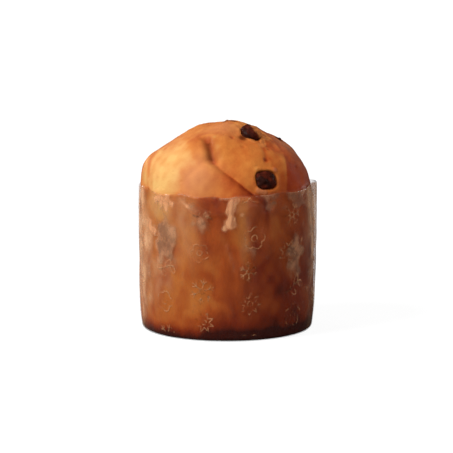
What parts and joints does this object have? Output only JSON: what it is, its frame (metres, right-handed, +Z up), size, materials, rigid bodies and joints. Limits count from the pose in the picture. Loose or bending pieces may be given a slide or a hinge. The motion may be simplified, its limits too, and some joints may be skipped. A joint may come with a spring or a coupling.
{
  "type": "panettone",
  "caption": "Small domed sweet bread with chocolate chips in its crust, standing in the round translucent paper case it was baked in, printed with pale line ornaments.",
  "frame": {"origin": "centre of the paper case's flat foot, on the surface it stands on", "axes": "+Z up along the loaf's axis; the front, with the fold and the two large chips, faces -Y; +X is to the right of the front"},
  "size_m": [0.0701, 0.0705, 0.0821],
  "materials": {
    "crust": "baked crust, soft sheen",
    "paper": "translucent glossy greaseproof paper with pale line print",
    "chocolate": "dark chocolate, low sheen"
  },
  "bodies": {
    "root": {"loaf": "crust", "paper_case": "paper", "chip_1": "chocolate", "chip_2": "chocolate", "chip_3": "chocolate", "chip_4": "chocolate", "chip_5": "chocolate", "chip_6": "chocolate", "chip_7": "chocolate", "chip_8": "chocolate", "chip_9": "chocolate"}
  },
  "joints": []
}
